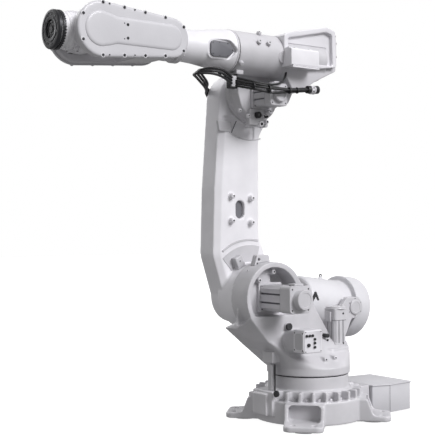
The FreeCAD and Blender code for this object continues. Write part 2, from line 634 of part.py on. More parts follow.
# ---- build -----------------------------------------------------------------------------
CARRIED_BY = {
    "connection_box": ["base_casting"], "turning_stop_post": ["base_casting"],
    "base_plug": ["base_casting"], "shoulder_motor": ["turret_casting"],
    "turret_motor": ["turret_casting"], "brake_release_box": ["turret_casting"],
    "brake_release_buttons": ["brake_release_box"], "wall_plugs": ["turret_casting"],
    "lifting_eye": ["turret_casting"], "balancer_crossbeam": ["turret_casting"],
    "balancer_near_yoke": ["turret_casting", "balancer_crossbeam"],
    "balancer_far_yoke": ["balancer_crossbeam"], "shoulder_stop_block": ["lower_arm_casting"],
    "elbow_stop_lug": ["lower_arm_casting"], "rear_motor_cover": ["upper_arm_housing"],
    "barrel_bosses": ["upper_arm_housing", "rear_motor_cover"],
    "elbow_motor": ["upper_arm_housing"], "wrist_drive_motor": ["upper_arm_housing", "rear_motor_cover"],
    "elbow_stop_bracket": ["upper_arm_housing"], "clamp_bracket": ["upper_arm_housing"],
    "cable_clamp": ["clamp_bracket"], "access_plate": ["forearm_tube"]}


def pieces():
    """Every sub-part by node name, cut where it sits on the piece that carries it."""
    box, lid = connection_box()
    near_yoke, far_yoke = balancer_yokes()
    made = {
        "base_casting": base_casting(),
        "connection_box": box,
        "connection_box_lid": lid,
        "turning_stop_post": stop_post(),
        "base_plug": base_knob(),
        "turret_casting": turret_casting(),
        "shoulder_motor": square_motor((AXIS_2.x, RECESS_FLOOR, AXIS_2.z), Y, 82, 300, 60, 48),
        "turret_motor": square_motor((-180, 60, 455), Z, 54, 236, 63, 14, 1.05),
        "brake_release_box": brake_release_box(),
        "brake_release_buttons": brake_release_buttons(),
        "wall_plugs": wall_plugs(),
        "lifting_eye": lifting_eye(),
        "balancer_crossbeam": balancer_crossbeam(),
        "balancer_near_yoke": near_yoke,
        "balancer_far_yoke": far_yoke,
        "trunnion_caps": trunnion_caps(),
        "balancer_cylinder": balancer_tube(),
        "balancer_rod": balancer_rod(),
        "lower_arm_casting": lower_arm_casting(),
        "shoulder_stop_block": shoulder_stop(),
        "elbow_stop_lug": elbow_stop(),
        "hose_gland": hose_gland(),
        "upper_arm_housing": upper_house(),
        "rear_motor_cover": rear_cover(),
        "barrel_bosses": barrel_bosses(),
        "elbow_motor": square_motor((337, BODY_NEAR, 2013), Y, 68, 185, 46, 25),
        "wrist_drive_motor": square_motor((302, 142, 2236), -X, 58, 196, 38, 20, 1.02),
        "elbow_stop_bracket": elbow_stop_bracket(),
        "clamp_bracket": clamp_bracket(),
        "cable_clamp": cable_clamp(),
        "barrel_cables": barrel_cables(),
        "cable_plug": cable_plug(),
        "arm_hoses": arm_hoses(),
        "forearm_tube": forearm_tube(),
        "access_plate": access_plate(),
        "wrist_fork": wrist_fork(),
        "near_wrist_cover": wrist_cover(True),
        "far_wrist_cover": wrist_cover(False),
        "tilt_housing": tilt_housing(),
        "tool_flange": tool_flange(),
    }
    for name, carriers in CARRIED_BY.items():
        for carrier in carriers:
            made[name] = made[name].cut(made[carrier])
    return made


os.makedirs("parts", exist_ok=True)
for name, shape in pieces().items():
    shape.exportStep("parts/%s.step" % name)
    print("%-26s solids %d valid %s volume %.4f" % (name, len(shape.Solids), shape.isValid(), shape.Volume / 1e9))
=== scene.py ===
"""Looks of the industrial robot arm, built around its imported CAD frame. Metres, in the row frame."""
import json
import math

import bmesh
import bpy
from mathutils import Matrix, Vector


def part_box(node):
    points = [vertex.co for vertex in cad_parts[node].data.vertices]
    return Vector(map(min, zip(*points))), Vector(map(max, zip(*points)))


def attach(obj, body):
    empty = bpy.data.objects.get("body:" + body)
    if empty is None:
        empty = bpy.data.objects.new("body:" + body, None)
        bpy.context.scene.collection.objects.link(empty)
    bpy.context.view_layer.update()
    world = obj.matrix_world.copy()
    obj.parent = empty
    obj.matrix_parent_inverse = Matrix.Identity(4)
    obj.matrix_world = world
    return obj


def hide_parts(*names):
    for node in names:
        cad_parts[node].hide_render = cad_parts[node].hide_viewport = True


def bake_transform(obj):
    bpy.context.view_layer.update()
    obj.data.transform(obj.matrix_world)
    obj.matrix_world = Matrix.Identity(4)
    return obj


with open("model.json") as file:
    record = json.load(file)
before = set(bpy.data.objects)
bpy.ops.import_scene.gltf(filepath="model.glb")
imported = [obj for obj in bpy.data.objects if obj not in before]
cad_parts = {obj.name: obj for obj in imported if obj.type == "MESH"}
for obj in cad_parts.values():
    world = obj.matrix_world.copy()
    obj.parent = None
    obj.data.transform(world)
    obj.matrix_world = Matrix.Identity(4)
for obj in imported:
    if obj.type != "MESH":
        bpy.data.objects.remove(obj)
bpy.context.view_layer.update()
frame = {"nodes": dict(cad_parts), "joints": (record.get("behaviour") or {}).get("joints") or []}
NODES = frame["nodes"]
X, Y, Z = Vector((1, 0, 0)), Vector((0, 1, 0)), Vector((0, 0, 1))
MM = 0.001
WELD_DISTANCE = 2e-6

# ---- places worked out from the frame ---------------------------------------------------
JOINT = {j["name"]: Vector(j["pos_m"]) / MM for j in frame["joints"]}
SHOULDER = JOINT["axis_2_shoulder"]
ELBOW = JOINT["axis_3_elbow"]
WRIST = JOINT["axis_5_wrist"]
TRUNNION = JOINT["balancer_swing"]
UPPER_Z = WRIST.z


def low(node):
    """Lowest corner of a CAD node, in millimetres."""
    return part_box(node)[0] / MM


def high(node):
    """Highest corner of a CAD node, in millimetres."""
    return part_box(node)[1] / MM


# ---- materials ------------------------------------------------------------------------
def grained(name, colours, roughness, scale, bump, metallic=0.0, coat=0.0, spread=(0.35, 0.65)):
    """Material whose colour drifts between two tones, with a fine grain in its bump and its gloss."""
    made = bpy.data.materials.new(name)
    made.use_nodes = True
    nodes, links = made.node_tree.nodes, made.node_tree.links
    shader = nodes["Principled BSDF"]
    place = nodes.new("ShaderNodeTexCoord")
    drift = nodes.new("ShaderNodeTexNoise")
    drift.inputs["Scale"].default_value = 5.0
    drift.inputs["Detail"].default_value = 5.0
    tones = nodes.new("ShaderNodeValToRGB")
    for stop, at, colour in zip(tones.color_ramp.elements, spread, colours):
        stop.position = at
        stop.color = (*colour, 1)
    grain = nodes.new("ShaderNodeTexNoise")
    grain.inputs["Scale"].default_value = scale
    grain.inputs["Detail"].default_value = 4.0
    gloss = nodes.new("ShaderNodeMapRange")
    gloss.inputs["To Min"].default_value = roughness - 0.06
    gloss.inputs["To Max"].default_value = roughness + 0.08
    relief = nodes.new("ShaderNodeBump")
    relief.inputs["Strength"].default_value = bump
    relief.inputs["Distance"].default_value = 0.0006
    links.new(place.outputs["Object"], drift.inputs["Vector"])
    links.new(place.outputs["Object"], grain.inputs["Vector"])
    links.new(drift.outputs["Fac"], tones.inputs["Fac"])
    links.new(tones.outputs["Color"], shader.inputs["Base Color"])
    links.new(grain.outputs["Fac"], gloss.inputs["Value"])
    links.new(gloss.outputs["Result"], shader.inputs["Roughness"])
    links.new(grain.outputs["Fac"], relief.inputs["Height"])
    links.new(relief.outputs["Normal"], shader.inputs["Normal"])
    shader.inputs["Metallic"].default_value = metallic
    shader.inputs["Coat Weight"].default_value = coat
    return made


# CAST, ARM, DRUM and COVER are copies of the one paint of WHITE in other brightness, set part by part for
# light and shade: ARM is lighter, with painted light; CAST, DRUM and COVER are darker, with painted shade.
CAST = grained("cast_paint", ((0.48, 0.475, 0.495), (0.56, 0.55, 0.575)), 0.46, 240.0, 0.35, coat=0.08)
ARM = grained("arm_paint_painted_light", ((0.70, 0.69, 0.72), (0.77, 0.76, 0.79)), 0.44, 260.0, 0.3, coat=0.08)
DRUM = grained("drum_paint_painted_shade", ((0.58, 0.575, 0.6), (0.64, 0.635, 0.66)), 0.44, 260.0, 0.3, coat=0.06)
COVER = grained("cover_paint_painted_shade", ((0.52, 0.515, 0.54), (0.56, 0.555, 0.58)), 0.4, 420.0, 0.12, coat=0.12)
WHITE = grained("white_paint", ((0.66, 0.65, 0.68), (0.72, 0.71, 0.74)), 0.4, 420.0, 0.12, coat=0.1)
BLACK = grained("black_plastic", ((0.012, 0.012, 0.014), (0.03, 0.03, 0.033)), 0.45, 600.0, 0.25)
RUBBER = grained("black_rubber", ((0.009, 0.009, 0.010), (0.02, 0.02, 0.022)), 0.5, 350.0, 0.2)
DARK = grained("dark_plate", ((0.115, 0.115, 0.13), (0.15, 0.15, 0.165)), 0.5, 500.0, 0.4)
OXIDE = grained("black_flange", ((0.01, 0.01, 0.012), (0.03, 0.03, 0.035)), 0.34, 300.0, 0.3, metallic=0.4)
BURNT = grained("dark_screw", ((0.02, 0.02, 0.022), (0.06, 0.06, 0.065)), 0.35, 500.0, 0.2, metallic=0.8)
STEEL = grained("bright_steel", ((0.55, 0.55, 0.56), (0.68, 0.68, 0.69)), 0.25, 300.0, 0.1, metallic=1.0)


# ---- making meshes --------------------------------------------------------------------
def add_piece(name, mesh, body, materials, node=None):
    """Links a mesh as a piece that rides on a body, and stands for a CAD node if one is named."""
    piece = bpy.data.objects.new(name, mesh)
    bpy.context.scene.collection.objects.link(piece)
    for one in materials:
        mesh.materials.append(one)
    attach(piece, body)
    if node:
        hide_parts(node)
    return piece


def apply_modifiers(piece):
    """Bakes an object's modifiers into its mesh."""
    graph = bpy.context.evaluated_depsgraph_get()
    mesh = bpy.data.meshes.new_from_object(piece.evaluated_get(graph))
    piece.modifiers.clear()
    old = piece.data
    piece.data = mesh
    bpy.data.meshes.remove(old)


def welded_copy(node):
    """Mesh of a CAD node with its split vertices joined and no material of its own."""
    mesh = NODES[node].data.copy()
    work = bmesh.new()
    work.from_mesh(mesh)
    bmesh.ops.remove_doubles(work, verts=work.verts, dist=WELD_DISTANCE)
    work.to_mesh(mesh)
    work.free()
    mesh.materials.clear()
    return mesh


def shade(piece, angle=32):
    """Smooth shading that breaks at edges sharper than an angle."""
    piece.data.shade_smooth()
    piece.data.set_sharp_from_angle(angle=math.radians(angle))


def cast_piece(node, body, voxel=5.0, rounds=5, keep=0.45, material=None):
    """Casting with every edge rounded, made from its CAD node."""
    piece = add_piece(node + "_cast", welded_copy(node), body, [material or CAST], node)
    remesh = piece.modifiers.new("even", "REMESH")
    remesh.mode = "VOXEL"
    remesh.voxel_size = voxel * MM
    smooth = piece.modifiers.new("round", "SMOOTH")
    smooth.factor = 0.5
    smooth.iterations = rounds
    thin = piece.modifiers.new("thin", "DECIMATE")
    thin.ratio = keep
    apply_modifiers(piece)
    piece.data.shade_smooth()
    return piece


def crisp_piece(node, body, material, bevel=2.0, angle=35):
    """Machined or moulded piece with a fine edge, made from its CAD node."""
    piece = add_piece(node + "_piece", welded_copy(node), body, [material], node)
    work = bmesh.new()
    work.from_mesh(piece.data)
    bmesh.ops.dissolve_limit(work, angle_limit=math.radians(0.5), verts=work.verts, edges=work.edges)
    work.to_mesh(piece.data)
    work.free()
    edge = piece.modifiers.new("edge", "BEVEL")
    edge.width = bevel * MM
    edge.segments = 2
    edge.limit_method = "ANGLE"
    edge.angle_limit = math.radians(angle)
    apply_modifiers(piece)
    shade(piece)
    return piece


def basis(axis):
    """Two directions square to an axis, the first one level where it can be."""
    n = Vector(axis).normalized()
    u = n.cross(Z)
    u = u.normalized() if u.length > 1e-3 else X.copy()
    return n, u, n.cross(u)


class Kit:
    """Small fittings of one body, gathered in one mesh. Sizes in millimetres."""

    def __init__(self, name, body, materials):
        self.name, self.body, self.materials = name, body, materials
        self.mesh = bmesh.new()

    def bridge(self, rings, material, closed_ends=True):
        """Skin between rings of the same number of points, in millimetres."""
        made = [[self.mesh.verts.new(Vector(p) * MM) for p in ring] for ring in rings]
        faces = []
        for a, b in zip(made, made[1:]):
            for i in range(len(a)):
                j = (i + 1) % len(a)
                faces.append(self.mesh.faces.new((a[i], a[j], b[j], b[i])))
        if closed_ends:
            faces.append(self.mesh.faces.new(list(reversed(made[0]))))
            faces.append(self.mesh.faces.new(made[-1]))
        for face in faces:
            face.material_index = material
            face.smooth = True

    def lathe(self, start, axis, profile, material=0, sides=28, hexagon=()):
        """Turned shape: (radius, height) pairs from the start along the axis."""
        n, u, v = basis(axis)
        rings = []
        for index, (radius, height) in enumerate(profile):
            ring = []
            for i in range(sides):
                a = 2 * math.pi * i / sides
                r = radius
                if index in hexagon:
                    r = radius * math.cos(math.pi / 6) / math.cos(a % (math.pi / 3) - math.pi / 6)
                ring.append(Vector(start) + n * height + (u * math.cos(a) + v * math.sin(a)) * max(r, 0.01))
            rings.append(ring)
        self.bridge(rings, material)

    def screw(self, at, axis, radius, height, material=0, dark=None):
        """Cap screw with a chamfered head and a hexagon socket."""
        socket = radius * 0.56
        self.lathe(at, axis, [(radius, -1), (radius, height * 0.8), (radius * 0.88, height),
                              (socket * 1.06, height), (socket, height * 0.92)], material, 24)
        self.lathe(at, axis, [(socket, height * 0.2), (socket, height + 0.15)],
                   material if dark is None else dark, 24, (0, 1))

    def boss(self, at, axis, radius, height, hole, material=0, dark=1):
        """Round screw boss with a soft foot, a chamfered rim and a dark screw in its middle."""
        foot = [(radius * 1.25, -2), (radius * 1.08, 1.5), (radius, 5)]
        rim = [(radius, height - 2.5), (radius - 2.5, height), (hole * 1.25, height)]
        head = [(hole * 1.2, height - 3), (hole * 1.2, height + 0.3), (hole * 0.8, height + 1.2)]
        self.lathe(at, axis, foot + rim, material, 32)
        self.lathe(at, axis, head, dark, 24)

    def slab(self, corners, start, axis, thick, chamfer=1.5, material=0, up=None):
        """Flat piece from an outline of (u, v) points, its outer rim chamfered."""
        n = Vector(axis).normalized()
        v = Vector(up or Z).normalized()
        u = v.cross(n)
        middle = [sum(c[k] for c in corners) / len(corners) for k in (0, 1)]
        size = max(math.dist(c, middle) for c in corners)

        def ring(height, inset):
            share = 1 - inset / size
            return [Vector(start) + n * height + u * (middle[0] + (a - middle[0]) * share)
                    + v * (middle[1] + (b - middle[1]) * share) for a, b in corners]
        self.bridge([ring(-1, 0), ring(thick - chamfer, 0), ring(thick, chamfer)], material)

    def box(self, centre, size, material=0, chamfer=2.0):
        """Block with chamfered edges."""
        before = set(self.mesh.verts)
        bmesh.ops.create_cube(self.mesh, size=1.0)
        verts = [v for v in self.mesh.verts if v not in before]
        for vert in verts:
            vert.co = Vector([(c + k * s) * MM for c, k, s in zip(centre, vert.co, size)])
        edges = list({e for v in verts for e in v.link_edges})
        faces = list({f for v in verts for f in v.link_faces})
        made = bmesh.ops.bevel(self.mesh, geom=edges, offset=chamfer * MM, segments=2, affect="EDGES",
                               profile=0.5)
        for face in set(f for f in faces if f.is_valid) | set(made["faces"]):
            face.material_index = material

    def done(self, node=None, angle=32):
        bmesh.ops.recalc_face_normals(self.mesh, faces=self.mesh.faces)
        mesh = bpy.data.meshes.new(self.name)
        self.mesh.to_mesh(mesh)
        self.mesh.free()
        piece = add_piece(self.name, mesh, self.body, self.materials, node)
        shade(piece, angle)
        return piece


def rounded(width, height, radius, steps=5):
    """Outline of a rectangle with round corners, as (u, v) points about its middle."""
    points = []
    for turn, (i, j) in enumerate(((1, 1), (-1, 1), (-1, -1), (1, -1))):
        for k in range(steps + 1):
            a = math.pi / 2 * (turn + k / steps)
            points.append((i * (width / 2 - radius) + radius * math.cos(a),
                           j * (height / 2 - radius) + radius * math.sin(a)))
    return points


def wire(name, points, radius, body, material):
    """Round cable along a route, as a smooth NURBS spline turned into a mesh."""
    curve = bpy.data.curves.new(name, "CURVE")
    curve.dimensions = "3D"
    curve.bevel_depth = radius * MM
    curve.bevel_resolution = 4
    curve.resolution_u = 10
    curve.use_fill_caps = True
    spline = curve.splines.new("NURBS")
    spline.points.add(len(points) - 1)
    for point, at in zip(spline.points, points):
        point.co = (*(Vector(at) * MM), 1)
    spline.order_u = 3
    spline.use_endpoint_u = True
    holder = bpy.data.objects.new(name, curve)
    bpy.context.scene.collection.objects.link(holder)
    bpy.context.view_layer.update()
    graph = bpy.context.evaluated_depsgraph_get()
    mesh = bpy.data.meshes.new_from_object(holder.evaluated_get(graph))
    bpy.data.objects.remove(holder)
    mesh.materials.clear()
    mesh.shade_smooth()
    piece = bpy.data.objects.new(name, mesh)
    bpy.context.scene.collection.objects.link(piece)
    mesh.materials.append(material)
    if body:
        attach(piece, body)
    return piece


# ---- castings and covers that follow their CAD nodes ----------------------------------
def castings():
    """Every cast or moulded piece whose CAD shape is kept, with softer or finer edges."""
    cast_piece("base_casting", "base")
    cast_piece("turret_casting", "turret")
    cast_piece("lower_arm_casting", "lower_arm", voxel=5.5, material=ARM)
    cast_piece("upper_arm_housing", "upper_arm")
    cast_piece("wrist_fork", "forearm", voxel=5.0)
    cast_piece("forearm_tube", "forearm", voxel=4.0, rounds=3, material=ARM)
    cast_piece("rear_motor_cover", "upper_arm", voxel=4.0, rounds=4, material=WHITE)
    cast_piece("balancer_cylinder", "balancer", voxel=5.0, rounds=4, material=DRUM)
    for node in ("balancer_near_yoke", "balancer_far_yoke", "balancer_crossbeam"):
        cast_piece(node, "turret", voxel=4.0, rounds=4)
    cast_piece("lifting_eye", "turret", voxel=2.5, rounds=3)
    cast_piece("turning_stop_post", "base", voxel=3.0, rounds=2)
    cast_piece("shoulder_stop_block", "lower_arm", voxel=2.5, rounds=3)
    cast_piece("elbow_stop_lug", "lower_arm", voxel=2.5, rounds=3)
    cast_piece("tilt_housing", "wrist_tilt", voxel=3.5, rounds=3, material=ARM)
    for node, body, material, bevel in (
            ("brake_release_box", "turret", WHITE, 3), ("connection_box", "base", COVER, 2),
            ("connection_box_lid", "base", COVER, 2), ("trunnion_caps", "turret", CAST, 2),
            ("elbow_stop_bracket", "upper_arm", CAST, 2), ("clamp_bracket", "upper_arm", CAST, 2),
            ("cable_clamp", "upper_arm", BLACK, 2), ("cable_plug", "upper_arm", BLACK, 1.5),
            ("hose_gland", "lower_arm", CAST, 2), ("barrel_bosses", "upper_arm", CAST, 2),
            ("access_plate", "forearm", DARK, 2), ("brake_release_buttons", "turret", BLACK, 1.2),
            ("wall_plugs", "turret", BLACK, 2), ("base_plug", "base", BLACK, 2),
            ("balancer_rod", "balancer_piston", STEEL, 1)):
        crisp_piece(node, body, material, bevel)


# ---- motors ---------------------------------------------------------------------------
def finned(half, cut, groove, depth):
    """Section of a motor body: a square with cut corners and two grooves in each side."""
    points = []
    for turn in range(4):
        c, s = math.cos(math.pi / 2 * turn), math.sin(math.pi / 2 * turn)
        stops = [(cut - half, half)]
        for middle in (-0.34 * half, 0.34 * half):
            stops += [(middle - groove / 2, half), (middle - groove / 2 + 1, half - depth),
                      (middle + groove / 2 - 1, half - depth), (middle + groove / 2, half)]
        stops += [(half - cut, half)]
        points += [(a * c + b * s, b * c - a * s) for a, b in stops]
    return points


def motor(name, node, body, start, axis, half, length, cap_r, cap_length, collar=1.1):
    """Servo motor: flange, finned body, end bell, round cap, and screws in its corners."""
    kit = Kit(name, body, [CAST, DARK, BURNT])
    start, axis = Vector(start), Vector(axis)
    up = Z if abs(axis.z) < 0.5 else X
    across = Vector(up).cross(axis)
    bell = length * 0.3
    bell_start = start + axis * (length - bell)
    inner = half * 0.985
    depth = half * 0.14
    core = half * 0.95 - depth + 1
    kit.slab(rounded(2 * half * collar, 2 * half * collar, 10), start, axis, 18, 2, 0, up)
    kit.slab(finned(half * 0.95, half * 0.24, half * 0.14, depth), start + axis * 17, axis,
             length - bell - 16, 1.5, 0, up)
    # Dark core that shows only on the floors of the fin grooves: painted shade in the grooves.
    kit.slab(rounded(2 * core, 2 * core, half * 0.3, 4), start + axis * 17, axis,
             length - bell - 16, 1, 1, up)
    kit.slab(rounded(2 * half, 2 * half, half * 0.3, 6), bell_start, axis, bell, 3, 0, up)
    kit.slab(rounded(2 * inner, 2 * inner, half * 0.3, 6), bell_start - axis * 3, axis, 6, 0.5, 1, up)
    cap = [(cap_r * 1.04, -2), (cap_r, 3), (cap_r, cap_length - 4), (cap_r - 4, cap_length),
           (cap_r * 0.72, cap_length), (cap_r * 0.69, cap_length - 2.5)]
    kit.lathe(start + axis * length, axis, cap, 0, 40)
    for i, j in ((-1, -1), (1, -1), (1, 1), (-1, 1)):
        corner = start + across * (i * half * 0.86) + up * (j * half * 0.86)
        kit.screw(corner + axis * 18, axis, half * 0.1, 8, 0, 2)
        kit.screw(start + across * (i * half * 0.76) + up * (j * half * 0.76) + axis * length, axis,
                  half * 0.06, 1.5, 2)
    return kit, node


def motors():
    """The four servo motors that show, each with its plugs."""
    kit, node = motor("shoulder_motor_piece", "shoulder_motor", "turret", (320, -5, 780), Y,
                      82, 300, 60, 48)
    for x in (262, 372):
        kit.screw((x, 262, 862), Z, 6, 3, 2)
    kit.box((318, 250, 868), (70, 60, 12), 0, 3)
    kit.done(node)
    kit, node = motor("elbow_motor_piece", "elbow_motor", "upper_arm", (337, -62, 2013), Y,
                      68, 185, 46, 25)
    kit.box((337, 90, 2086), (60, 56, 12), 0, 3)
    kit.done(node)
    kit, node = motor("turret_motor_piece", "turret_motor", "turret", (-180, 60, 455), Z,
                      54, 236, 63, 14, 1.05)
    kit.box((-120, 60, 640), (14, 46, 62), 0, 3)
    for z in (470, 660):
        kit.screw((-196, 114, z), Y, 6, 3, 2)
    kit.done(node)
    kit = Kit("wrist_drive_motor_piece", "upper_arm", [ARM, DARK, BURNT])
    kit.slab(rounded(112, 108, 14, 6), (300, 142, 2238), -X, 224, 5, 0, Z)
    kit.box((190, 199, 2186), (206, 8, 8), 1, 1.5)
    kit.box((190, 200, 2177), (214, 12, 9), 0, 2)
    for x in (284, 236, 120):
        kit.box((x, 150, 2296), (24, 34, 8), 0, 2)
        kit.screw((x, 150, 2300), Z, 5, 3, 2)
    kit.done("wrist_drive_motor")


# ---- wrist ----------------------------------------------------------------------------
COVER_BIG_R, COVER_SMALL_R, COVER_SMALL_X = 150, 112, 1147
COVER_IN = 150
COVER_RIM_Y = 172
COVER_SCREW_PITCH, COVER_SCREW_INSET = 131, 11
COVER_SCREW_R, COVER_PIN_R = 8, 4.6


def wrist_outline(grow, steps=28):
    """Outline of the wrist covers, as (x, z) points: two round ends joined by tangents."""
    tilt = math.asin((COVER_BIG_R - COVER_SMALL_R) / (WRIST.x - COVER_SMALL_X))
    points = []
    for centre, radius, first, last in (
            (WRIST.x, COVER_BIG_R, -math.pi / 2 - tilt, math.pi / 2 + tilt),
            (COVER_SMALL_X, COVER_SMALL_R, math.pi / 2 + tilt, 3 * math.pi / 2 - tilt)):
        for i in range(steps + 1):
            a = first + (last - first) * i / steps
            points.append((centre + (radius + grow) * math.cos(a), UPPER_Z + (radius + grow) * math.sin(a)))
    return points


PANEL_BIG_R, PANEL_BIG_X, PANEL_SMALL_R, PANEL_SMALL_X = 96, 1598, 73, 1155


def panel_outline(grow, steps=20):
    """Outline of the raised panel: a slot that swells round the tilt axis, as (x, z) points."""
    big, small = PANEL_BIG_R + grow, PANEL_SMALL_R + grow
    points = []
    for i in range(steps + 1):
        a = math.radians(-112 + 224 * i / steps)
        points.append((PANEL_BIG_X + big * math.cos(a), UPPER_Z + big * math.sin(a)))
    end_x, end_z = points[-1][0], points[-1][1] - UPPER_Z
    for i in range(1, 9):
        t = i / 9
        points.append((end_x - 75 * t, UPPER_Z + end_z + (small - end_z) * t * t * (3 - 2 * t)))
    for i in range(steps + 1):
        a = math.radians(90 + 180 * i / steps)
        points.append((PANEL_SMALL_X + small * math.cos(a), UPPER_Z + small * math.sin(a)))
    for i in range(8, 0, -1):
        t = i / 9
        points.append((end_x - 75 * t, UPPER_Z - end_z - (small - end_z) * t * t * (3 - 2 * t)))
    return points


def wrist_cover(name, node, sign):
    """Wrist cover with a rolled rim, a raised waisted panel, and screws sunk round its edge."""
    kit = Kit(name, "forearm", [COVER, BURNT])

    def at(outline, y):
        return [Vector((x, sign * y, z)) for x, z in outline]
    rim = [(0, COVER_IN), (0, 165), (-1.5, 170), (-5, 173.5), (-10, 175.5), (-16, 176), (-30, 176.4)]
    kit.bridge([at(wrist_outline(g), y) for g, y in rim], 0)
    panel = [(0, 174), (-2, 177.5), (-6, 180.5), (-12, 182.3), (-20, 183)]
    kit.bridge([at(panel_outline(g), y) for g, y in panel], 0)
    tilt = math.asin((COVER_BIG_R - COVER_SMALL_R) / (WRIST.x - COVER_SMALL_X))
    big_ring, small_ring = COVER_BIG_R - 14, COVER_SMALL_R - COVER_SCREW_INSET

    def edge(x):
        """Half width of the row of screws at x."""
        return (COVER_BIG_R - COVER_SCREW_INSET - (WRIST.x - x) * math.sin(tilt)) / math.cos(tilt)
    spots = []
    for k in range(4):
        x = WRIST.x - COVER_SCREW_PITCH * k
        spots += [(x, edge(x), COVER_SCREW_R), (x, -edge(x), COVER_SCREW_R)]
    for x in (WRIST.x - 39, WRIST.x - 196):
        spots += [(x, edge(x), COVER_PIN_R), (x, -edge(x), COVER_PIN_R)]
    for centre, radius, turns in ((WRIST.x, big_ring, (30, -30)), (COVER_SMALL_X, small_ring, (139, 221))):
        for a in (math.radians(turn) for turn in turns):
            spots.append((centre + radius * math.cos(a), radius * math.sin(a), COVER_SCREW_R))
    for x, z, radius in spots:
        seat = [(radius * 1.7, 0), (radius * 1.7, 3.6), (radius * 1.45, 4.6), (radius * 1.15, 4.4)]
        kit.lathe((x, sign * COVER_RIM_Y, UPPER_Z + z), Y * sign, seat, 0)
        kit.screw((x, sign * (COVER_RIM_Y + 2), UPPER_Z + z), Y * sign, radius, 4.2, 1)
    for s in (-1, 1):
        kit.lathe((1437, sign * 180, UPPER_Z + 36 * s), Y * sign, [(10.5, 0), (10.5, 3.6), (8.6, 3.4)], 0)
        kit.lathe((1437, sign * 180, UPPER_Z + 36 * s), Y * sign, [(8.4, 0), (8.4, 3.7), (6, 3.9)], 1)
        kit.lathe((1458, sign * 180, UPPER_Z + 42 * s), Y * sign, [(3.4, 0), (3.4, 3.6), (2, 3.8)], 1)
    kit.done(node)


FLANGE_X = high("tool_flange").x
TEETH = 42


def flange_and_tilt():
    """Tool flange with its toothed ring, and the fittings round the tilting housing."""
    kit = Kit("tool_flange_piece", "flange", [OXIDE, BURNT, ARM])
    centre = Vector((FLANGE_X, 0, UPPER_Z))
    face = [(48, 9), (50, 0.5), (52, 0), (66, 0), (68, 2), (86, 2), (88, 0), (98, 0)]
    rim = [(103, 1.5), (106, 5), (106, 18), (104, 20), (60, 20)]
    plug = [(46, 0), (46, 3), (44, 4), (34, 4), (33, 2), (20, 2), (19, 5), (8, 5)]
    kit.lathe(centre, -X, face + rim, 0, 72)
    kit.lathe(centre - X * 19, -X, [(97, 0), (97, 9)], 2, 64)
    kit.lathe(centre - X * 26, -X, [(60, 0), (104, 0), (106, 2), (106, 9), (104, 11), (60, 11)], 0, 72)
    for i in range(TEETH):
        a = 2 * math.pi * i / TEETH
        out = Vector((0, math.cos(a), math.sin(a)))
        kit.slab([(-7, 0), (7, 0), (0, 12)], centre - X * 35 + out * 95, out, 11.5, 0.8, 0, -X)
    for i in range(11):
        a = 2 * math.pi * (i + 0.5) / 11
        spot = centre + Vector((0, math.cos(a), math.sin(a))) * 80
        kit.lathe(spot - X * 2, X, [(5, 0), (5, 1.2), (4, 1.5)], 1, 16)
    kit.lathe(centre - X * 9, X, plug, 0, 48)
    for i in range(6):
        a = math.pi / 3 * i
        kit.screw(centre - X * 5 + Vector((0, math.cos(a), math.sin(a))) * 40, X, 4, 3, 1)
    kit.done("tool_flange")
    kit = Kit("tilt_fittings", "wrist_tilt", [ARM, BURNT, WHITE])
    collar = [(100.5, 0), (102, 3), (102, 22), (98, 28), (95, 40), (95, 66), (90, 70)]
    kit.lathe((1690, 0, UPPER_Z), X, collar, 0, 64)
    for i in range(16):
        a = 2 * math.pi * (i + 0.5) / 16
        kit.screw(Vector((1714, 0, UPPER_Z)) + Vector((0, math.cos(a), math.sin(a))) * 94, X, 5.5, 10, 0, 1)
    for y, x, size in ((-34, 1660, 15), (4, 1690, 17), (40, 1664, 14), (70, 1640, 12),
                       (30, 1722, 13), (58, 1700, 11)):
        drop = math.sqrt(98 ** 2 - y ** 2)
        foot = Vector((x, y, UPPER_Z - drop + 4))
        kit.lathe(foot, -Z, [(size, -4), (size, 9), (size - 2, 11), (size - 4, 11), (size - 4, 20),
                             (size - 6, 22)], 2)
        kit.screw(foot - Z * 21, -Z, size - 8, 4, 1)
    kit.done()


def forearm_details():
    """Seal, ring of screws and the small fittings of the forearm and its seam."""
    kit = Kit("forearm_fittings", "forearm", [CAST, BURNT, WHITE, BLACK])
    kit.lathe((1001, 0, UPPER_Z), X, [(105, 0), (107, 2), (107, 34), (104, 38)], 0, 64)
    for i in range(14):
        a = 2 * math.pi * (i + 0.25) / 14
        out = Vector((0, math.cos(a), math.sin(a)))
        kit.screw(Vector((1001, 0, UPPER_Z)) + out * 99, -X, 5, 7, 0, 1)
    kit.lathe((637, 0, UPPER_Z), X, [(126, 0), (129, 2), (129, 12), (127.5, 14)], 0, 72)
    lowest, highest = low("access_plate"), high("access_plate")
    for x, z in ((highest.x - 14, -34), (highest.x - 14, 32), (lowest.x + 12, 0), (highest.x - 62, 38),
                 (highest.x - 62, -40), (lowest.x + 46, 36), (lowest.x + 46, -36)):
        kit.screw((x, highest.y - 0.6, (lowest.z + highest.z) / 2 + z), Y, 3.2, 1.8, 1)
    kit.done()
    kit = Kit("seam_seal", "upper_arm", [BLACK])
    kit.lathe((624, 0, UPPER_Z), X, [(121, 0), (122, 1), (122, 10), (121, 11)], 0, 64)
    kit.done()


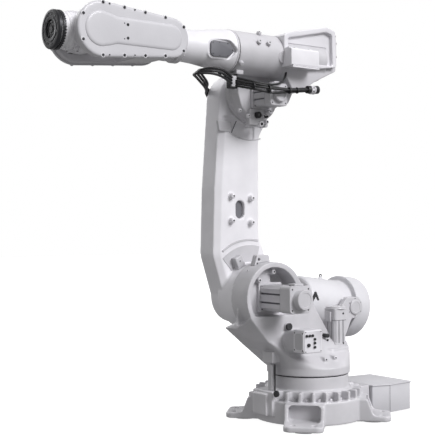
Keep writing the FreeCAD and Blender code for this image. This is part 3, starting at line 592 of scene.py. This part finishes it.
# ---- upper arm ------------------------------------------------------------------------
def upper_arm_details():
    """Screws, bosses, caps and fittings of the upper arm."""
    kit = Kit("upper_arm_fittings", "upper_arm", [CAST, BURNT, WHITE, BLACK])
    for x, y in ((446, 61), (490, 116), (416, 117), (245, 59)):
        out = Vector((0, y, math.sqrt(127 ** 2 - y ** 2))).normalized()
        top = Vector((x, 0, UPPER_Z)) + out * 145
        kit.lathe(top, out, [(9, -3), (9, 1), (7, 1.4)], 2)
        kit.screw(top + out * 0.5, out, 5.5, 2.4, 1)
    cap = [(42, -4), (40, 3), (38, 5.5), (34, 6), (33, 5)]
    kit.lathe((302, 122, 2243), Vector((0, 1, -0.13)), cap, 0, 48)
    kit.lathe((612, 100, 2182), Vector((0, 1, -0.8)), [(15, -10), (14, 18), (12, 20), (6, 20.5)], 0)
    kit.lathe((560, -20, 2128), -Z, [(20, -6), (18, 8), (16, 10), (7, 10.5)], 0)
    for side in (1, -1):
        for y, z in ((104, 2418), (112, 2371), (112, 2286)):
            kit.screw((-141, side * y, z), -X, 5, 4, 1)
        for y, z in ((40, 2432), (60, 2230)):
            kit.screw((-145, side * y, z), -X, 5, 4, 1)
    for x, z in ((325, 1896), (443, 1891)):
        kit.boss((x, -46, z), Y, 11, 14, 4.2, 2)
    kit.boss((493, -64, 1922), Y, 10, 10, 4.2, 2)
    kit.boss((282, -48, 1926), Y, 14, 26, 5, 2)
    kit.boss((347, -60, 1846), Y, 17, 30, 8, 2)
    kit.boss((296, -72, 1862), Y, 12, 34, 5, 2)
    kit.lathe((376, -28, 1899), Y, [(20, -14), (20, 8), (17, 11), (9, 11), (8, 6)], 3)
    kit.lathe((318, -30, 1890), Vector((0.2, 1, 0)), [(7, -10), (7, 26), (5, 28)], 3)
    for a in range(10):
        turn = math.radians(200 + 14 * a)
        spot = Vector((ELBOW.x + 178 * math.cos(turn), -140, ELBOW.z + 178 * math.sin(turn)))
        kit.screw(spot, Y, 6, 7, 0, 1)
    kit.box((617, 41, 2079), (34, 6, 64), 2, 2)
    for x in (609, 626):
        kit.box((x, 44, 2078), (6, 2.4, 46), 3, 0.8)
    for x in (700, 746):
        kit.lathe((x, 78 if x > 720 else 70, 2106 if x > 720 else 2094), Vector((1, 0.3, 0.3)),
                  [(11, 0), (12, 1), (12, 6), (11, 7)], 3)
    kit.done()
    kit = Kit("cable_ties", "upper_arm", [BLACK, WHITE, BURNT])
    for x, y, z, r in ((545, 140, 2046, 19), (455, 174, 2030, 23), (300, 180, 2032, 19),
                       (232, 171, 2039, 18)):
        kit.lathe((x, y, z), Vector((1, -0.1, -0.1)), [(r, 0), (r + 1.2, 1), (r + 1.2, 6), (r, 7)], 0)
    kit.lathe((114, 151, 2054), -X, [(24, 0), (26.5, 1), (26.5, 19), (24, 20)], 1, 40)
    kit.lathe((91, 151, 2054), -X, [(24, 0), (26.5, 1), (26.5, 9), (24, 10)], 1, 40)
    for z in (2044, 2064):
        kit.screw((103, 176.5, z), Y, 4, 1.6, 2)
    kit.done()


# ---- lower arm ------------------------------------------------------------------------
ARM_FACE_Y = -190


def lower_arm_details():
    """Boss screws, the blanked oval hole, arc steps, track seams and screws of the lower arm."""
    kit = Kit("lower_arm_fittings", "lower_arm", [CAST, BURNT, DARK, WHITE])
    near = ARM_FACE_Y
    for x, z in ((467, 1404), (313, 1393), (467, 1251), (313, 1240)):
        kit.lathe((x, near + 32, z), Y, [(9, -2), (9, 1), (7, 1.3)], 3)
        kit.screw((x, near + 32.6, z), Y, 5.5, 2.2, 1)
    kit.slab(rounded(66, 109, 32, 8), (394, near - 42, 1320), Y, 20, 2, 2)

    def arc(centre, inner, outer, first, last, thick, material=0, steps=30):
        rings = []
        for i in range(steps + 1):
            a = math.radians(first + (last - first) * i / steps)
            out = Vector((math.cos(a), 0, math.sin(a)))
            base = Vector((centre.x, near, centre.z))
            rings.append([base + out * inner - Y, base + out * outer - Y,
                          base + out * (outer - 1.5) + Y * thick, base + out * (inner + 1.5) + Y * thick])
        kit.bridge(rings, material)
    arc(SHOULDER, 344, 358, 53, 101, 5)
    arc(SHOULDER, 212, 318, 48, 104, 3)
    arc(ELBOW, 298, 306, 253, 302, 3)
    for a in (297, 258):
        turn = math.radians(a)
        out = Vector((math.cos(turn), 0, math.sin(turn)))
        middle = Vector((ELBOW.x, near - 12.5, ELBOW.z)) + out * 252
        kit.slab([(-2, -44), (2, -44), (2, 44), (-2, 44)], middle, Y, 2.4, 0.5, 2, out)
    kit.screw((432, -144, 1000), Y, 7, 3, 0, 1)
    kit.done()


# ---- turret and base ------------------------------------------------------------------
TURRET_SCREWS, TURRET_RING_R = 36, 237
BASE_SCREWS, BASE_RING_R, BASE_FIRST_SCREW = 25, 292, 32.5


def turret_details():
    """Screws, box panel, clip, plug fittings and trunnion cap of the turret."""
    kit = Kit("turret_fittings", "turret", [CAST, BURNT, WHITE, BLACK, DARK])
    for x, z in ((302, 936), (413, 888)):
        kit.lathe((x, 28, z), Y, [(10, 0), (10, 3), (8, 3.4)], 2)
        kit.screw((x, 31, z), Y, 6, 2, 1)
    for x, z in ((37, 395), (-42, 400)):
        kit.lathe((x, 208, z), Y, [(10, 0), (10, 3), (8, 3.4)], 2)
        kit.screw((x, 211, z), Y, 5.5, 1.6, 1)
    kit.slab(rounded(84, 118, 14), (285, 242, 525), X, 5, 1.5, 2)
    kit.slab(rounded(66, 98, 22), (289.6, 242, 525), X, 1.8, 0.8, 0)
    for y, z in ((206, 576), (278, 576), (206, 474), (278, 474)):
        kit.screw((289.6, y, z), X, 4, 2, 1)
    for x, z in ((154, 467), (154, 583), (275, 467), (275, 583)):
        kit.screw((x, 289.6, z), Y, 3.4, 1.6, 1)
    kit.lathe((225, 60, 598), Y, [(27, -6), (25, 4), (23, 10), (21.5, 11)], 0)
    kit.lathe((225, 80, 598), Y, [(23, 0), (23, 5), (20, 7)], 3, 10)
    clip = [(-4, 36), (6, 36), (30, -16), (22, -20), (3, 10), (-24, -26), (-34, -20)]
    kit.slab(clip, (-6, 60, 766), Y, 8, 1.5, 3)
    for x, z in ((-78, 524), (-84, 496)):
        kit.lathe((x, 60, z), Y, [(12, -4), (11, 10), (8, 12), (8, 26), (6, 27)], 2)
        kit.lathe((x, 86, z), Y, [(6.5, -2), (6.5, 8), (4, 9)], 3)
    for i in range(TURRET_SCREWS):
        a = 2 * math.pi * i / TURRET_SCREWS
        kit.screw((TURRET_RING_R * math.cos(a), TURRET_RING_R * math.sin(a), 345.5), Z, 5.5, 4, 0, 1)
    kit.screw((468, -20, 946), Vector((0.7, 0, 0.6)), 6, 4, 0, 1)
    for x in (310, 396):
        kit.screw((x, -18.5, 988), Y, 5, 2, 1)
    cap_y = TRUNNION.y + 228.5
    kit.lathe((TRUNNION.x, cap_y, TRUNNION.z), Y, [(49, -3), (49, 1), (46, 3), (36, 3.4), (34, 2)], 0, 48)
    for a in range(6):
        turn = math.radians(60 * a + 30)
        out = Vector((math.cos(turn), 0, math.sin(turn)))
        kit.screw(Vector((TRUNNION.x, cap_y - 8.8, TRUNNION.z)) + out * 58, Y, 5, 4, 0, 1)
    kit.done()


def base_details():
    """Ring screws, seal, a black rod of painted shadow beside the stop post, box seams and screws of the
    base.
    """
    kit = Kit("base_fittings", "base", [CAST, BURNT, WHITE, BLACK, DARK])
    for i in range(BASE_SCREWS):
        a = math.radians(BASE_FIRST_SCREW + 360 / BASE_SCREWS * i)
        kit.screw((BASE_RING_R * math.cos(a), BASE_RING_R * math.sin(a), 153), Z, 12, 17, 0, 4)
    kit.lathe((0, 0, 290), Z, [(249, 0), (250, 1), (250, 7), (249, 8)], 3, 72)
    # Thin black rod beside the stop post: a dark strip of painted shadow for the gap between the post and
    # the base neck.
    kit.lathe((314, 49, 205), Z, [(5, 0), (5, 165), (3, 166)], 3, 16)
    kit.lathe((345, 99, 203), Vector((1, 0.5, 0)), [(18, -8), (18, 4), (16, 6)], 3, 12)
    kit.slab(rounded(26, 60, 5), (312, 35, 330), Y, 3.5, 1, 0)
    for z in (312, 348):
        kit.screw((312, 38.5, z), Y, 4.5, 2, 0, 1)
    box_top = high("connection_box_lid").z
    for x, y in ((-725, -178), (-725, 178), (-725, 0), (-528, 196), (-528, -196),
                 (-410, 164), (-410, -164)):
        kit.screw((x, y, box_top - 0.3), Z, 4.5, 2.2, 2, 1)
    kit.box((-522, 206, 96), (1.6, 5, 172), 4, 0.5)
    for z in (60, 130):
        kit.lathe((-735, -60, z), -X, [(26, -3), (26, 3), (22, 4), (21, 2), (12, 2)], 3, 32)
        kit.lathe((-735, 40, z), -X, [(20, -3), (20, 3), (17, 4), (16, 2), (8, 2)], 3, 32)
    kit.done()


def balancer_details():
    """Lifting ring, end cover and screws of the balancer."""
    kit = Kit("balancer_fittings", "balancer", [DRUM, BURNT])
    line = Vector((SHOULDER.x - TRUNNION.x, 0, SHOULDER.z - TRUNNION.z)).normalized()
    rear = TRUNNION - line * 175
    cover = [(150, -4), (150, 1), (146, 3), (118, 3), (114, 0.5), (60, 0.5), (56, 4), (30, 5)]
    u, v = basis(line)[1:]
    kit.lathe(rear, -line, cover, 0, 64)
    for i in range(8):
        a = math.pi / 4 * i
        kit.screw(rear + (u * math.cos(a) + v * math.sin(a)) * 132 - line * 2, -line, 7, 4.5, 0, 1)
    top = TRUNNION + line * 110 + Z * 178
    rings = []
    for i in range(20):
        a = 2 * math.pi * i / 19
        out = Vector((math.cos(a), 0, math.sin(a)))
        ring = [top + Z * 12 + out * (9 + 3.5 * math.cos(b)) + Y * (3.5 * math.sin(b))
                for b in (math.pi / 4 * k for k in range(8))]
        rings.append(ring)
    kit.bridge(rings, 1)
    front_end = TRUNNION + line * 340
    for i in range(12):
        a = math.pi / 6 * i
        kit.screw(front_end + (u * math.cos(a) + v * math.sin(a)) * 108 - line * 2, line, 8, 8, 0, 1)
    kit.done()


# ---- cables ---------------------------------------------------------------------------
HOSE_R, CABLE_R = 8, 7
HOSE_ROUTE = (
    ((604, 22, 2092), (0, 0, -17)), ((672, 66, 2112), (6, 0, -17)), ((735, 84, 2132), (10, 0, -17)),
    ((795, 78, 2138), (14, 0, -16)), ((838, 30, 2130), (17, 0, -12)), ((826, -38, 2134), (17, 0, -13)),
    ((770, -92, 2136), (15, 0, -15)), ((706, -146, 2120), (12, 0, -16)), ((632, -212, 2104), (8, 0, -17)),
    ((572, -288, 2096), (3, -3, -17)), ((530, -364, 2092), (0, -2, -17)), ((456, -410, 2074), (10, -6, -14)),
    ((404, -414, 2004), (18, -2, -5)), ((390, -410, 1920), (17, 0, 0)), ((390, -410, 1835), (17, 0, 0)))
CABLE_ROUTES = (
    ((612, 24, 2072), (575, 110, 2050), (520, 164, 2040), (440, 184, 2034), (360, 187, 2032),
     (284, 182, 2036), (206, 172, 2044), (130, 158, 2054)),
    ((612, 24, 2087), (575, 110, 2065), (520, 160, 2055), (440, 172, 2045), (360, 174, 2040),
     (284, 169, 2044), (206, 159, 2052), (130, 145, 2062)),
    ((612, 24, 2057), (575, 110, 2035), (520, 160, 2022), (440, 172, 2008), (360, 174, 2016),
     (284, 169, 2028), (206, 159, 2036), (130, 145, 2046)),
    ((604, 22, 2104), (560, 110, 2079), (490, 150, 2064), (410, 156, 2060), (335, 146, 2080),
     (292, 126, 2118), (262, 100, 2150), (246, 80, 2168)))


def cables():
    """The hoses that loop over to the lower arm, and the cables back to the plug."""
    for i in range(3):
        route = [Vector(point) + Vector(step) * i for point, step in HOSE_ROUTE]
        hose = wire("arm_hose_%d" % (i + 1), route, HOSE_R, None, RUBBER)
        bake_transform(hose)
        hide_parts("arm_hoses")
    for i, route in enumerate(CABLE_ROUTES):
        cable = wire("barrel_cable_%d" % (i + 1), route, CABLE_R, "upper_arm", RUBBER)
        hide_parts("barrel_cables")


# ---- stage ----------------------------------------------------------------------------
LOW_SKY, HIGH_SKY = 0.28, 0.5
LIGHT_COLOUR = (0.985, 0.98, 1.0)
# name, direction towards the light, strength, and how wide it is in degrees
LIGHTS = (("key", (-0.25, 0.85, 0.6), 2.9, 28), ("top", (0.1, 0.1, 1.0), 0.45, 40),
          ("fill", (0, -0.9, 0.4), 1.2, 40))
LAMP_DISTANCE = 6


def floor_and_light():
    """Pale floor, white surroundings that are darker from below, and broad key, top and fill lights."""
    bpy.ops.mesh.primitive_plane_add(size=60, location=(0, 0, -0.0005))
    floor = bpy.context.object
    floor.name = "floor"
    pale = bpy.data.materials.new("pale_floor")
    pale.use_nodes = True
    shader = pale.node_tree.nodes["Principled BSDF"]
    shader.inputs["Base Color"].default_value = (0.3, 0.3, 0.3, 1)
    shader.inputs["Roughness"].default_value = 0.9
    shader.inputs["Emission Color"].default_value = (1, 1, 1, 1)
    shader.inputs["Emission Strength"].default_value = 0.92
    floor.data.materials.append(pale)
    floor.visible_diffuse = False
    floor.visible_glossy = False
    world = bpy.data.worlds.new("studio")
    bpy.context.scene.world = world
    world.use_nodes = True
    nodes, links = world.node_tree.nodes, world.node_tree.links
    ground = nodes["Background"]
    ground.inputs["Color"].default_value = (1, 1, 1, 1)
    place = nodes.new("ShaderNodeTexCoord")
    split = nodes.new("ShaderNodeSeparateXYZ")
    ramp = nodes.new("ShaderNodeMapRange")
    ramp.inputs["From Min"].default_value = -0.6
    ramp.inputs["From Max"].default_value = 0.5
    ramp.inputs["To Min"].default_value = LOW_SKY
    ramp.inputs["To Max"].default_value = HIGH_SKY
    path = nodes.new("ShaderNodeLightPath")
    white = nodes.new("ShaderNodeMix")
    links.new(place.outputs["Generated"], split.inputs["Vector"])
    links.new(split.outputs["Z"], ramp.inputs["Value"])
    links.new(path.outputs["Is Camera Ray"], white.inputs["Factor"])
    links.new(ramp.outputs["Result"], white.inputs["A"])
    white.inputs["B"].default_value = 1.0
    links.new(white.outputs["Result"], ground.inputs["Strength"])
    for name, side, power, spread in LIGHTS:
        lamp = bpy.data.lights.new(name, "SUN")
        lamp.energy = power
        lamp.angle = math.radians(spread)
        lamp.color = LIGHT_COLOUR
        holder = bpy.data.objects.new(name, lamp)
        bpy.context.scene.collection.objects.link(holder)
        holder.location = Vector(side) * LAMP_DISTANCE
        holder.rotation_mode = "QUATERNION"
        holder.rotation_quaternion = (-Vector(side)).to_track_quat("-Z", "Y")


CAMERA_AT = Vector((4.22258, 4.77110, 1.22308))
CAMERA_YAW, CAMERA_PITCH, CAMERA_ROLL = 233.643, 0.433, -0.12
LENS, SENSOR = 82.84, 36.0


def camera():
    """Camera at the viewing angle: eye height, ahead of the arm and on its left."""
    data = bpy.data.cameras.new("camera")
    data.lens = LENS
    data.sensor_width = SENSOR
    made = bpy.data.objects.new("camera", data)
    bpy.context.scene.collection.objects.link(made)
    yaw, pitch, roll = (math.radians(a) for a in (CAMERA_YAW, CAMERA_PITCH, CAMERA_ROLL))
    look = Vector((math.cos(yaw) * math.cos(pitch), math.sin(yaw) * math.cos(pitch), math.sin(pitch)))
    level = look.cross(Z).normalized()
    up = level.cross(look)
    right = level * math.cos(roll) + up * math.sin(roll)
    top = up * math.cos(roll) - level * math.sin(roll)
    made.matrix_world = Matrix.Translation(CAMERA_AT) @ Matrix((right, top, -look)).transposed().to_4x4()
    bpy.context.scene.camera = made


camera()
floor_and_light()
castings()
cables()
motors()
wrist_cover("near_wrist_cover_piece", "near_wrist_cover", 1)
wrist_cover("far_wrist_cover_piece", "far_wrist_cover", -1)
flange_and_tilt()
forearm_details()
upper_arm_details()
lower_arm_details()
turret_details()
base_details()
balancer_details()
bpy.context.scene.view_settings.view_transform = "Standard"
